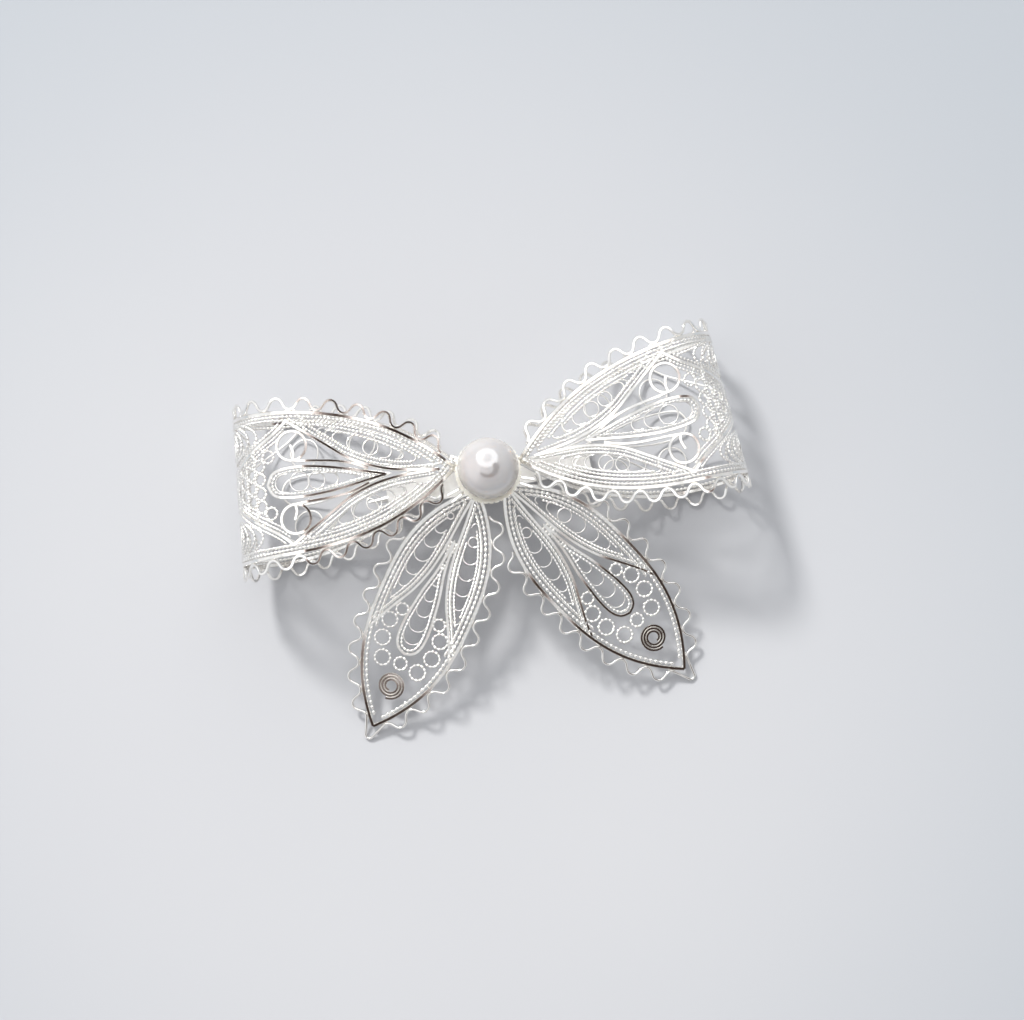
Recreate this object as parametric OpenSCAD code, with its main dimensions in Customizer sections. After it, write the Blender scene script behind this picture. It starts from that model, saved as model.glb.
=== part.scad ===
// Filigree bow brooch with a pearl, lying face up on its back.
// Four wire panels, bent to two ribbon loops and two ribbon tails, are threaded on the post of a pearl cup
// and stand on the pillar of a pin bar. Each panel is drawn flat and then laid on its bent side profile.
// Lengths are millimetres. +X is to the right of the bow, +Y to its top and +Z out of its front.

/* [Loops] */
// Distance from the knot to the outside of a loop's fold
loop_reach = 25.6; // [23:0.2:29]
// Radius of the fold, at the middle of the wire
fold_r = 5.6; // [5:0.1:6.2]
// Half the width of a loop between the middles of its rim wires
loop_half_w = 7.3; // [6:0.1:8.4]
// Distance from the knot to the pointed tips of a loop
loop_tip = 3.4; // [3:0.1:4]
// Angle by which the left loop rises above level
left_rise = 6.8; // [0:0.1:12]
// The same for the right loop
right_rise = 4.3; // [0:0.1:12]
// How far the left loop's axis passes above the post, measured across the loop
left_lift = -0.2; // [-0.4:0.05:0.8]
// The same for the right loop
right_lift = 0.55; // [-0.4:0.05:0.8]
// How far the left loop's front tip stands above that axis
left_skew = 1; // [-0.6:0.1:1.4]
// The same for the right loop
right_skew = -0.3; // [-0.6:0.1:1.4]
// How far the left loop's back tip stands above that axis
left_back_skew = 2.1; // [-0.6:0.1:2.4]
// The same for the right loop
right_back_skew = -0.2; // [-0.6:0.1:2.4]

/* [Tails] */
// Distance from the knot to the point of a tail, seen from the front
tail_reach = 28.3; // [25:0.1:31]
// Half the width of a tail between the middles of its rim wires
tail_half_w = 4.9; // [4:0.1:5.4]
// Angle between the left tail and straight down
left_spread = 35.3; // [32:0.1:42]
// The same for the right tail
right_spread = 34.2; // [32:0.1:42]
// How far the tails' axes meet above the post
tail_lift = 0.55; // [0:0.05:0.8]
// Angle by which a tail dips at the knot
tail_dip = 7.5; // [4:0.5:10]
// Radius of a tail's arch
tail_arch_r = 150; // [130:5:200]
// Distance from the knot to the inner tip of a tail
tail_tip = 2.5; // [2.3:0.1:3]
// Distance from the knot at which the edging starts on the outer side of a tail
outer_start = 9.9; // [8:0.1:11]
// The same on the inner side of the left tail
left_inner_start = 4.6; // [4:0.1:8]
// The same on the inner side of the right tail
right_inner_start = 8; // [6:0.1:9]

/* [Wires] */
// Width and height of a rim wire
rim_wire = 0.5; // [0.4:0.02:0.6]
// Width and height of the wavy edging wire
wave_wire = 0.34; // [0.28:0.02:0.4]
// Width of the wires inside a panel
inner_wire = 0.38; // [0.3:0.02:0.44]
// How much lower each finer kind of inner wire is than the kind it runs into
wire_step = 0.05; // [0.04:0.01:0.06]
// Width of a soldered joint
joint_w = 0.8; // [0.6:0.05:1]
// Length at each end of a loop that has no edging
wave_start = 1.5; // [1.2:0.1:3]
// Length of one wave of the edging
wave_pitch = 2.7; // [2.4:0.1:3.2]
// How far the crests of the edging stand out from the rim wire's middle
wave_out = 1.45; // [1:0.05:1.7]

/* [Knot] */
// Radius of the post that carries the panels
post_r = 0.6; // [0.5:0.05:0.7]
// Clearance round the post in the eyelets and in the pillar
post_gap = 0.08; // [0.05:0.01:0.1]
// Thickness of one eyelet
eyelet_t = 0.32; // [0.26:0.02:0.4]
// Radius of the eyelets
eyelet_r = 1.5; // [1.3:0.05:1.6]
// Clearance between neighbours in the stack
stack_gap = 0.08; // [0.06:0.01:0.12]
// Height of the underside of the lowest eyelet above the surface
stack_z = 6.04; // [5.8:0.02:6.4]

/* [Pearl] */
// Radius of the pearl
pearl_r = 3.1; // [2.6:0.1:3.6]
// Radius of the cup's foot
cup_foot_r = 1.9; // [1.7:0.05:2.2]
// Radius of the cup's edge
cup_r = 3.35; // [3:0.05:3.5]
// Wall of the cup, measured level
cup_wall = 0.5; // [0.4:0.05:0.7]
// Thickness of the cup's floor
cup_floor = 0.3; // [0.24:0.02:0.5]
// Height of the cup
cup_h = 1; // [0.8:0.05:1.2]
// Clearance between the pearl and the cup's floor and peg
pearl_gap = 0.05; // [0.04:0.01:0.1]
// Radius of the peg in the pearl
peg_r = 0.4; // [0.3:0.05:0.5]
// Length of the peg in the pearl
peg_depth = 2.8; // [2:0.2:3.4]
// Number of flutes round the cup
flutes = 36; // [16:2:44]
// Radius of one flute
flute_r = 0.1; // [0.08:0.01:0.14]

/* [Pin] */
// Half the length of the bar
bar_half = 10.5; // [8:0.25:11]
// Width of the bar
bar_w = 2.6; // [2:0.1:3.2]
// Thickness of the bar
bar_t = 0.65; // [0.5:0.05:0.8]
// Height of the underside of the bar above the surface
bar_z = 2.1; // [1.9:0.05:2.3]
// Radius of the pillar
pillar_r = 1.8; // [1.5:0.05:2.2]
// Radius of the stem
stem_r = 0.4; // [0.3:0.05:0.45]
// Radius inside the catch
catch_bore_r = 0.55; // [0.5:0.01:0.6]
// Wall of the catch
catch_wall = 0.35; // [0.3:0.05:0.45]
// Length of the catch and of the hinge block
foot_l = 2.2; // [1.6:0.1:3]
// Length of the stem's point past the catch
point_l = 2; // [1:0.25:3]

/* [Hidden] */
$fn = 48;

silver = "#e4e6e8";
white_pearl = "#f7f3ee";

// Levels in the stack, from the lowest eyelet up
layer = eyelet_t + stack_gap;
layers = 6;
left_back = 0;
right_back = 1;
left_tail_layer = 2;
right_tail_layer = 3;
left_front = 4;
right_front = 5;
cup_z = stack_z + layers * layer;
function layer_z(i) = stack_z + i * layer + eyelet_t / 2;
back_tip_z = layer_z((left_back + right_back) / 2);
front_tip_z = layer_z((left_front + right_front) / 2) + eyelet_t;

// Side profile of a loop: the front runs to the fold, round it and back, lying on the surface at its lowest
joint_h = rim_wire + wire_step;
fold_c = [loop_reach - fold_r - rim_wire / 2, fold_r + joint_h / 2];
front_tip = [loop_tip, front_tip_z];
back_tip = [loop_tip, back_tip_z];
function aim(p) = atan2(fold_c.y - p.y, fold_c.x - p.x);
function run(p) = sqrt(pow(norm(fold_c - p), 2) - pow(fold_r, 2));
front_slope = aim(front_tip) + asin(fold_r / norm(fold_c - front_tip));
back_slope = aim(back_tip) - asin(fold_r / norm(fold_c - back_tip));
front_len = run(front_tip);
back_len = run(back_tip);
fold_turn = 180 + front_slope - back_slope;
fold_len = fold_r * fold_turn * PI / 180;
loop_len = front_len + fold_len + back_len;
loop_mid = loop_len / 2;

// Heading, in degrees above level, and place of a loop's middle line at a length u along it
function loop_heading(u) =
    front_slope - min(max(u - front_len, 0), fold_len) / fold_r * 180 / PI;
function up(heading) = [-sin(heading), cos(heading)];
function loop_line(u) =
    fold_c + fold_r * up(loop_heading(u))
    + (min(u - front_len, 0) + max(u - front_len - fold_len, 0))
    * [cos(loop_heading(u)), sin(loop_heading(u))];
function turned(s, t, z, angle) =
    [s * cos(angle) - t * sin(angle), s * sin(angle) + t * cos(angle), z];

// How far the front half of a loop and its back half lean off its axis, up to the outermost point of the fold.
// The two skews are the front's and the back's.
fold_x = fold_c.x + fold_r;
function lean(u, skews) = skews[loop_heading(u) > -90 ? 0 : 1] * (1 - loop_line(u).x / fold_x);
function loop_place(rise, lift, skews) = function(u, t, h)
    let (p = loop_line(u) + h * up(loop_heading(u))) turned(p.x, t + lift + lean(u, skews), p.y, rise);

// Side profile of a tail: one shallow arch that dips from the knot to the surface
tail_len = tail_arch_r * (asin(tail_reach / tail_arch_r + sin(tail_dip)) - tail_dip) * PI / 180;
function tail_angle(u) = tail_dip + u / tail_arch_r * 180 / PI;
function tail_out(u, r) = r * sin(tail_angle(u)) - tail_arch_r * sin(tail_dip);
tail_z = tail_arch_r * (cos(tail_dip) - cos(tail_angle(tail_len + wave_out))) + wave_wire / 2;
function tail_up(u, r) = tail_z + r * cos(tail_angle(u)) - tail_arch_r * cos(tail_dip);
function tail_place(turn) = function(u, t, h)
    let (r = tail_arch_r + h) turned(tail_out(u, r), t, tail_up(u, r), turn) + [0, tail_lift, 0];

// Half width of a panel at a length u along it
loop_rim_power = 3.4;
function loop_rim(u) = loop_half_w * (1 - pow(abs(1 - u / loop_mid), loop_rim_power));
tail_widest = 0.48;
tail_root_power = 2.8;
tail_point_power = 2.6;
function tail_share(u) = (u - tail_tip) / (tail_len - tail_tip);
function tail_rim(u) =
    let (x = tail_share(u))
    tail_half_w * (x < tail_widest
        ? 1 - pow(max(1 - x / tail_widest, 0), tail_root_power)
        : 1 - pow(min((x - tail_widest) / (1 - tail_widest), 1), tail_point_power));

// Tables for a loop, with columns for the share of half the panel's length and the share of its half width.
// Inner edge of a leaf cell
loop_leaf = [[0.19, 0.035], [0.26, 0.07], [0.34, 0.15], [0.42, 0.28], [0.49, 0.46], [0.57, 0.67],
    [0.655, 0.95]];
// Brace from the end of a leaf to the middle of the fold
loop_brace = [[0.635, 0.9], [0.7, 0.71], [0.775, 0.54], [0.855, 0.38], [0.93, 0.24], [1, 0.19]];
// One side of the teardrop in the middle
loop_drop = [[0.3, 0], [0.36, 0.075], [0.43, 0.135], [0.51, 0.19], [0.58, 0.215], [0.65, 0.2],
    [0.7, 0.13], [0.725, 0]];
// Stem of a scroll, up to its ring, and the ring's middle and radius
loop_scroll = [[0.38, 0.22], [0.44, 0.225], [0.54, 0.265], [0.625, 0.29]];
scroll_c = [0.64, 0.5];
scroll_r = 0.2;
// Middles of the small rings between the teardrop and the middle of the fold, and their radius as a share of
// half the length, which lets them touch
loop_rings = [[0.77, 0], [0.85, 0], [0.93, 0]];
ring_r = 0.0415;
// Middle of the spiral in each corner of the fold
loop_disc = 0.596;

// Tables for a tail, with the same columns for its whole length
tail_leaf = [[0.12, 0.06], [0.22, 0.1], [0.3, 0.15], [0.37, 0.23], [0.445, 0.37], [0.52, 0.58], [0.6, 0.8],
    [0.66, 0.93]];
tail_drop = [[0.25, 0], [0.31, 0.05], [0.37, 0.11], [0.44, 0.22], [0.52, 0.28], [0.59, 0.32], [0.66, 0.31],
    [0.7, 0.2], [0.715, 0]];
tail_disc = [0.835, 0];
tail_disc_r = 0.48;

// Where the joints in the tips lie, where the wire from a tip starts, and how far the stalk of a teardrop
// runs into what it joins, as shares of the length
tip_joint = 0.01;
root_start = 0.02;
stalk_in = 0.015;
// Where the spiral of a tail starts, and where it is soldered to the rim, in degrees round it
disc_start = -60;
disc_joint = 55;

// Sides of the rings and eyelets, and pieces in a spiral and in the rims
ring_n = 6;
scroll_n = 8;
eyelet_n = 16;
spiral_n = 10;
loop_rim_n = 28;
tail_rim_n = 18;
// Pieces in the finer line along which the edging is measured, and the length of its slope gauge
fine_n = 80;
gauge = wave_pitch / 50;
// Lengths below this count as nothing
tiny = wire_step / 50;

// Kinds of inner wire, from the highest down: each is a step lower than the one it runs into
root = 0;
leaf = 1;
brace = 2;
stem = 3;
filling = 4;
function height(kind) = rim_wire - (kind + 1) * wire_step;

// Wire of a w by h section along the points of a path, given as length and width on the flat panel
module wire(place, path, w, h, closed = false) {
    n = len(path);
    function at(i) = closed ? path[(i + n) % n] : path[min(max(i, 0), n - 1)];
    function side(i) = let (d = at(i + 1) - at(i - 1)) [-d.y, d.x] / norm(d);
    corners = [[-1, -1], [1, -1], [1, 1], [-1, 1]];
    points = [
        for (i = [0 : n - 1], c = corners)
            let (p = path[i] + side(i) * c.x * w / 2) place(p.x, p.y, c.y * h / 2)
    ];
    sides = [
        for (i = [0 : closed ? n - 1 : n - 2], k = [0 : 3])
            let (a = 4 * i, b = 4 * ((i + 1) % n), m = (k + 1) % 4)
            each [[a + k, b + k, b + m], [a + k, b + m, a + m]]
    ];
    last = 4 * n - 4;
    ends = [[0, 1, 2], [0, 2, 3], [last, last + 2, last + 1], [last, last + 3, last + 2]];
    polyhedron(points, closed ? sides : concat(sides, ends));
}

module inner(place, path, kind, closed = false) wire(place, path, inner_wire, height(kind), closed);

// Ring of n straight pieces
module ring(place, c, r, n, kind) {
    angles = [for (i = [0 : n - 1]) 360 * (i + 0.5) / n];
    inner(place, [for (a = angles) c + r * [cos(a), sin(a)]], kind, closed = true);
}

// Spiral: half a turn at its full radius and then one turn inwards
module spiral(place, c, r, from) {
    whole_turns = 0.5;
    inner_turns = 1;
    inner_share = 0.4;
    inner(place, [
        for (i = [0 : spiral_n])
            let (
                turn = (whole_turns + inner_turns) * i / spiral_n,
                share = 1 - (1 - inner_share) * max(turn - whole_turns, 0) / inner_turns
            )
            c + r * share * [cos(from + 360 * turn), sin(from + 360 * turn)]
    ], filling);
}

// Soldered joint where wires meet
module joint(place, p, l) {
    hull()
        wire(place, [p - [l / 2, 0], p + [l / 2, 0]], joint_w, joint_h);
}

function last(rows) = rows[len(rows) - 1];
function flipped(rows) = [for (i = [len(rows) - 1 : -1 : 0]) rows[i]];
function across(path, side) = [for (p = path) [p.x, side * p.y]];

// Closed outline along a path and back along its mirror image
function outline(path) = concat(path, flipped(across([for (p = path) if (abs(p.y) > tiny) p], -1)));

// Points of a rim from length a to length b
function rim_path(rim, a, b, n) =
    [for (i = [0 : n]) let (u = a + (b - a) * i / n) [u, max(rim(u), 0)]];

// Length along a path up to each of its points
function lengths(path) = [
    for (i = 0, l = 0; i < len(path); i = i + 1, l = i < len(path) ? l + norm(path[i] - path[i - 1]) : l) l
];

// Wavy path beside a rim from length a to length b. The turns of one wave have columns for the share of the
// pitch and the share of the way out from the trough to the crest.
wave_turns = [[0, 0], [0.36, 1], [0.64, 1]];
wave_in = rim_wire / 2;
function wave(rim, a, b) =
    let (
        path = rim_path(rim, a, b, fine_n),
        l = lengths(path),
        total = l[fine_n],
        waves = round(total / wave_pitch),
        places = [for (i = [0 : fine_n]) [l[i], path[i].x]]
    )
    [
        for (k = [0 : waves], turn = wave_turns)
            if (k + turn[0] <= waves)
                let (
                    u = lookup((k + turn[0]) * total / waves, places),
                    d = [2 * gauge, rim(u + gauge) - rim(u - gauge)],
                    out = wave_in + turn[1] * (wave_out - wave_in)
                )
                [u, rim(u)] + out * [-d.y, d.x] / norm(d)
    ];

// Flat ring on the post, and the tongue from it to the tip of a panel that is turned by an angle. The tongue
// stays level until it is clear of the other eyelets.
module eyelet(i, angle, tip) {
    tongue_w = 2 * post_r;
    hole_r = post_r + post_gap;
    tongue_start = (hole_r + eyelet_r) / 2;
    tongue_bend = eyelet_r + stack_gap;
    module level(from) {
        translate([from, -tongue_w / 2, layer_z(i) - eyelet_t / 2])
            cube([tongue_bend - from, tongue_w, eyelet_t]);
    }
    difference() {
        translate([0, 0, layer_z(i) - eyelet_t / 2])
            cylinder(r = eyelet_r, h = eyelet_t, $fn = eyelet_n);
        translate([0, 0, layer_z(i) - eyelet_t])
            cylinder(r = hole_r, h = 2 * eyelet_t, $fn = eyelet_n);
    }
    rotate([0, 0, angle]) {
        level(tongue_start);
        hull() {
            level(eyelet_r);
            translate(tip - [0, tongue_w / 2, eyelet_t / 2])
                cube([tongue_w / 2, tongue_w, eyelet_t]);
        }
    }
}

// The wires in the root of a panel: a thick one from the tip to the leaf cells, a joint there and a stalk
// to the teardrop, whose outline is drawn too
module heart(place, lay, leaf_rows, drop_rows) {
    wire(place, [lay([root_start, 0], 1), lay(leaf_rows[0], 0)], 2 * inner_wire, height(root));
    joint(place, lay(leaf_rows[0], 0), 2 * joint_w);
    inner(place, [lay(leaf_rows[0] - [stalk_in, 0], 0), lay(drop_rows[0] + [stalk_in, 0], 0)], stem);
    inner(place, outline([for (r = drop_rows) lay(r, 1)]), brace, closed = true);
}

// One loop, on the right of the bow
module loop(front_layer, back_layer, rise, lift, skews) {
    place = loop_place(rise, lift, skews);
    rim = function(u) loop_rim(u);
    eyelet(front_layer, rise, [front_tip.x, lift + lean(0, skews), front_tip.y]);
    eyelet(back_layer, rise, [back_tip.x, lift + lean(loop_len, skews), back_tip.y]);
    wire(place, outline(rim_path(rim, 0, loop_len, loop_rim_n)), rim_wire, rim_wire, closed = true);
    for (side = [-1, 1]) {
        brace_half = [for (r = loop_brace) [r.x * loop_mid, side * r.y * loop_half_w]];
        brace_back = [for (p = flipped(brace_half)) if (p.x < loop_mid - tiny) [loop_len - p.x, p.y]];
        wire(place, across(wave(rim, wave_start, loop_len - wave_start), side), wave_wire, wave_wire);
        inner(place, concat(brace_half, brace_back), brace);
        spiral(place, [loop_mid, side * loop_disc * loop_half_w], (1 - loop_disc) * loop_half_w, side * 90);
    }
    for (end = [0, 1]) {
        lay = function(r, side)
            [end == 0 ? r.x * loop_mid : loop_len - r.x * loop_mid, side * r.y * loop_half_w];
        heart(place, lay, loop_leaf, loop_drop);
        for (side = [-1, 1]) {
            inner(place, [for (r = loop_leaf) lay(r, side)], leaf);
            inner(place, [for (r = loop_scroll) lay(r, side)], stem);
            joint(place, lay(last(loop_leaf), side), joint_w);
            ring(place, lay(scroll_c, side), scroll_r * loop_half_w, scroll_n, brace);
        }
        for (i = [0 : len(loop_rings) - 1])
            ring(place, lay(loop_rings[i], 1), ring_r * loop_mid, ring_n, stem + i % 2);
    }
}

// One tail, on the right of the bow
module tail(i, inner_start, spread) {
    turn = spread - 90;
    place = tail_place(turn);
    rim = function(u) tail_rim(u);
    lay = function(r, side) [tail_tip + r.x * (tail_len - tail_tip), side * r.y * tail_half_w];
    eyelet(i, turn, turned(0, tail_lift, 0, -turn) + [tail_out(tail_tip, tail_arch_r), 0,
        tail_up(tail_tip, tail_arch_r)]);
    wire(place, outline(rim_path(rim, tail_tip, tail_len, tail_rim_n)), rim_wire, rim_wire, closed = true);
    edging_end = tail_len - wave_pitch / 3;
    point_crest = [for (side = [-1, 1]) [tail_len + wave_out, side * wave_pitch / 8]];
    wire(place, concat(across(wave(rim, inner_start, edging_end), -1), point_crest,
        flipped(wave(rim, outer_start, edging_end))), wave_wire, wave_wire);
    heart(place, lay, tail_leaf, tail_drop);
    disc_c = lay(tail_disc, 1);
    disc_r = tail_disc_r * tail_half_w;
    spiral(place, disc_c, disc_r, disc_start);
    for (side = [-1, 1]) {
        inner(place, [for (r = tail_leaf) lay(r, side)], leaf);
        joint(place, lay(last(tail_leaf), side), joint_w);
        joint(place, disc_c + disc_r * [cos(disc_joint), side * sin(disc_joint)], joint_w);
    }
    for (share = [tip_joint, 1 - tip_joint])
        joint(place, lay([share, 0], 1), joint_w);
}

// Turns a piece over to the left of the bow
module to_left() mirror([1, 0, 0]) children();

module left_loop()
    color(silver) to_left() loop(left_front, left_back, left_rise, left_lift, [left_skew, left_back_skew]);

module right_loop()
    color(silver) loop(right_front, right_back, right_rise, right_lift, [right_skew, right_back_skew]);

module left_tail() color(silver) to_left() tail(left_tail_layer, left_inner_start, left_spread);

module right_tail() color(silver) tail(right_tail_layer, right_inner_start, right_spread);

module pearl() {
    centre_z = cup_z + cup_floor + pearl_gap + pearl_r;
    color(white_pearl)
        difference() {
            translate([0, 0, centre_z])
                sphere(r = pearl_r);
            translate([0, 0, cup_z])
                cylinder(r = peg_r + pearl_gap, h = cup_floor + peg_depth + 2 * pearl_gap);
        }
}

module pearl_cup() {
    flare = (cup_r - cup_foot_r) / cup_h;
    inside_r = cup_foot_r + flare * cup_floor - cup_wall;
    color(silver) {
        difference() {
            translate([0, 0, cup_z])
                cylinder(r1 = cup_foot_r, r2 = cup_r, h = cup_h);
            translate([0, 0, cup_z + cup_floor])
                cylinder(r1 = inside_r, r2 = inside_r + flare * cup_h, h = cup_h);
            for (i = [0 : flutes - 1])
                rotate([0, 0, 360 * i / flutes])
                    translate([cup_foot_r + flute_r / 2, 0, cup_z])
                        rotate([0, atan(flare), 0])
                            translate([0, 0, -cup_h])
                                cylinder(r = flute_r, h = 4 * cup_h);
        }
        translate([0, 0, bar_z])
            cylinder(r = post_r, h = cup_z - bar_z + cup_floor / 2);
        translate([0, 0, cup_z])
            cylinder(r = peg_r, h = cup_floor + peg_depth);
    }
}

module brooch_pin() {
    catch_r = catch_bore_r + catch_wall;
    stem_z = catch_r;
    color(silver) {
        difference() {
            union() {
                translate([-bar_half, -bar_w / 2, bar_z])
                    cube([2 * bar_half, bar_w, bar_t]);
                translate([0, 0, bar_z])
                    cylinder(r = pillar_r, h = stack_z - stack_gap - bar_z);
            }
            translate([0, 0, bar_z - bar_t])
                cylinder(r = post_r + post_gap, h = stack_z);
        }
        translate([bar_half - foot_l, -bar_w / 2, 0])
            cube([foot_l, bar_w, bar_z + bar_t / 2]);
        translate([-bar_half + foot_l, 0, stem_z])
            rotate([0, -90, 0])
                difference() {
                    union() {
                        cylinder(r = catch_r, h = foot_l);
                        translate([0, -catch_wall, 0])
                            cube([bar_z + bar_t / 2 - stem_z, 2 * catch_wall, foot_l]);
                    }
                    translate([0, 0, -foot_l])
                        cylinder(r = catch_bore_r, h = 3 * foot_l);
                    translate([-catch_wall, 0, -foot_l])
                        cube([2 * catch_wall, 2 * catch_r, 3 * foot_l]);
                }
        translate([-bar_half, 0, stem_z])
            rotate([0, 90, 0])
                cylinder(r = stem_r, h = 2 * bar_half - foot_l / 2);
        translate([-bar_half, 0, stem_z])
            rotate([0, -90, 0])
                cylinder(r1 = stem_r, r2 = stem_r / 4, h = point_l);
    }
}

// The whole bow is laid with the middle of its width and height on the origin
crest_w = loop_half_w + wave_out + wave_wire / 2;
function loop_side(rise, lift) = loop_reach * cos(rise) + (crest_w - lift) * sin(rise);
function loop_top(rise, lift) = (loop_reach - rim_wire / 2) * sin(rise) + (crest_w + lift) * cos(rise);
tail_end = tail_out(tail_len + wave_out + wave_wire / 2, tail_arch_r);
middle_x = (loop_side(right_rise, right_lift) - loop_side(left_rise, left_lift)) / 2;
top_y = max(loop_top(left_rise, left_lift), loop_top(right_rise, right_lift));
bottom_y = tail_lift - tail_end * cos(min(left_spread, right_spread));
module placed() translate([-middle_x, -(top_y + bottom_y) / 2, 0]) children();

placed() left_loop();
placed() right_loop();
placed() left_tail();
placed() right_tail();
placed() pearl();
placed() pearl_cup();
placed() brooch_pin();
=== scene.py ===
# Looks of a filigree bow brooch with a pearl, lying face up.
# Each wire panel is drawn flat, as lengths along and across it, and then laid on its bent side profile.
# Sizes are in millimetres, and MM turns them to metres.
import math
from collections import namedtuple

import bmesh
import bpy
from mathutils import Matrix, Vector


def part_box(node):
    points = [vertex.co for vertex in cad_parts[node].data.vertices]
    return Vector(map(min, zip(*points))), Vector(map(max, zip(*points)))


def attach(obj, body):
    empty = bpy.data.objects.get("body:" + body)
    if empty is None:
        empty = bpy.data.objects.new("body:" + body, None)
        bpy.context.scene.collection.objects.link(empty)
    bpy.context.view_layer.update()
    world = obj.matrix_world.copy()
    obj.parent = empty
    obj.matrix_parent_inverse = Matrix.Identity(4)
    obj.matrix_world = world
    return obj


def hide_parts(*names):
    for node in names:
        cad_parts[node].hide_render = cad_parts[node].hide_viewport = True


MM = 0.001

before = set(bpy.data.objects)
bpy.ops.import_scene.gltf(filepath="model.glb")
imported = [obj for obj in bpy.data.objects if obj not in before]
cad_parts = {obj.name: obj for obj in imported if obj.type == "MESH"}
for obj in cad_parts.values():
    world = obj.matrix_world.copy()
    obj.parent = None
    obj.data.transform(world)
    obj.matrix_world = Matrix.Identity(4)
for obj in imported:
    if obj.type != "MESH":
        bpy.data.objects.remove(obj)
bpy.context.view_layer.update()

# The knot, from the cup that stands on it
cup_low, cup_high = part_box("pearl_cup")
KNOT = (cup_low + cup_high) / 2 / MM

# Loops: how far they reach, the radius of their folds and half their width
LOOP_REACH = 25.6
FOLD_R = 5.6
LOOP_HALF_W = 7.3
# How they turn up and lie higher than the knot, and how far their fronts and backs lean aside at the knot
LEFT_RISE = math.radians(6.8)
RIGHT_RISE = math.radians(4.3)
LEFT_LIFT = -0.2
RIGHT_LIFT = 0.55
LEFT_SKEWS = (1.0, 2.1)
RIGHT_SKEWS = (-0.3, -0.2)
# How far their tips lie from the post, and the power of the curve of their rims
LOOP_TIP = 3.4
LOOP_POWER = 3.4

# Tails: how far they reach, half their width, and their angles from straight down
TAIL_REACH = 28.3
TAIL_HALF_W = 4.9
LEFT_SPREAD = math.radians(35.3)
RIGHT_SPREAD = math.radians(34.2)
# How much higher than the knot they start, and the slope of their arch at its start and its radius
TAIL_LIFT = 0.55
TAIL_DIP = math.radians(7.5)
TAIL_ARCH_R = 150.0
# How far their tips lie from the post, where they are widest, and the powers of the two curves of their rims
TAIL_TIP = 2.5
TAIL_WIDEST = 0.48
TAIL_ROOT_POWER = 2.8
TAIL_POINT_POWER = 2.6

# Knot: six eyelets on the post of the cup, from the back to the front
EYELET_T = 0.32
EYELET_R = 1.5
POST_R = 0.6
POST_GAP = 0.08
STACK_GAP = 0.08
STACK_Z = 6.04
LAYER = EYELET_T + STACK_GAP
LEFT_BACK, RIGHT_BACK, LEFT_TAIL, RIGHT_TAIL, LEFT_FRONT, RIGHT_FRONT = range(6)
CUP_Z = STACK_Z + 6 * LAYER

# Rim wires, and the width that the solids give them
RIM_R = 0.21
RIM_ROOM = 0.5

# Edging wire: its radius here and in the solids, the length of a wave, and how far out its troughs and its
# crests lie
WAVE_R = 0.15
WAVE_SOLID_R = 0.17
WAVE_PITCH = 2.7
WAVE_IN = 0.33
WAVE_OUT = 1.45
# Where it starts on a loop, the points of a wave, how round the wave is, and the bend at a tail's point
WAVE_START = 1.5
WAVE_STEPS = 16
WAVE_ROUNDNESS = 0.35
WAVE_POINT_R = 0.4

# Radii of the other wires, and how far the rods at the roots of the tails reach
OUTLINE_R = 0.17
THIN_R = 0.1
SCROLL_WIRE_R = 0.16
ROD_R = 0.16
ROD_REACH = 4.7
FINE_R = 0.08
JOINT_H = 0.55

# Corners of the section of a rolled wire with a radius of 1. Its flat top and bottom have sharp edges.
ROLLED = ((0.62, 0.9), (1, 0.45), (1, -0.45), (0.62, -0.9),
          (-0.62, -0.9), (-1, -0.45), (-1, 0.45), (-0.62, 0.9))
ROLLED_SIDES = len(ROLLED)
ROUND_SIDES = 6
SHARP = math.radians(45)

# Usual twisted wires, and wires pressed into beads with the radii of a bead as shares
TWIST_W = 0.4
TWIST_PITCH = 0.84
TWIST_STEPS = 6
BEAD_W = 0.37
BEAD_PITCH = 0.43
BEAD_SHAPE = (0.24, 0.8, 1.0, 0.8)

# Steps along the paths
RIM_STEP = 0.3
ROW_STEP = 0.2
ROUND_STEP = 0.16
EDGE_STEP = 0.1
EDGE_FINE_STEP = 0.05

# Waver of the hand-bent panels up and down, which fades to nothing at the folds and the points.
# Each wave has an angle for a millimetre along the panel, one for a millimetre across it, and a start.
WAVER = 0.045
WAVER_WAVES = ((0.9, 0.3, 0.0), (0.5, -0.5, 1.0))


def waver(u, t, share):
    """Height by which a panel strays from its side profile. The share is 0 at its start and 1 at its end."""
    sway = sum(math.sin(along * u + across * t + start) for along, across, start in WAVER_WAVES)
    return WAVER * math.cos(share * math.pi / 2) * sway


def layer_z(i):
    """Middle height of an eyelet in the stack."""
    return STACK_Z + i * LAYER + EYELET_T / 2


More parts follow.
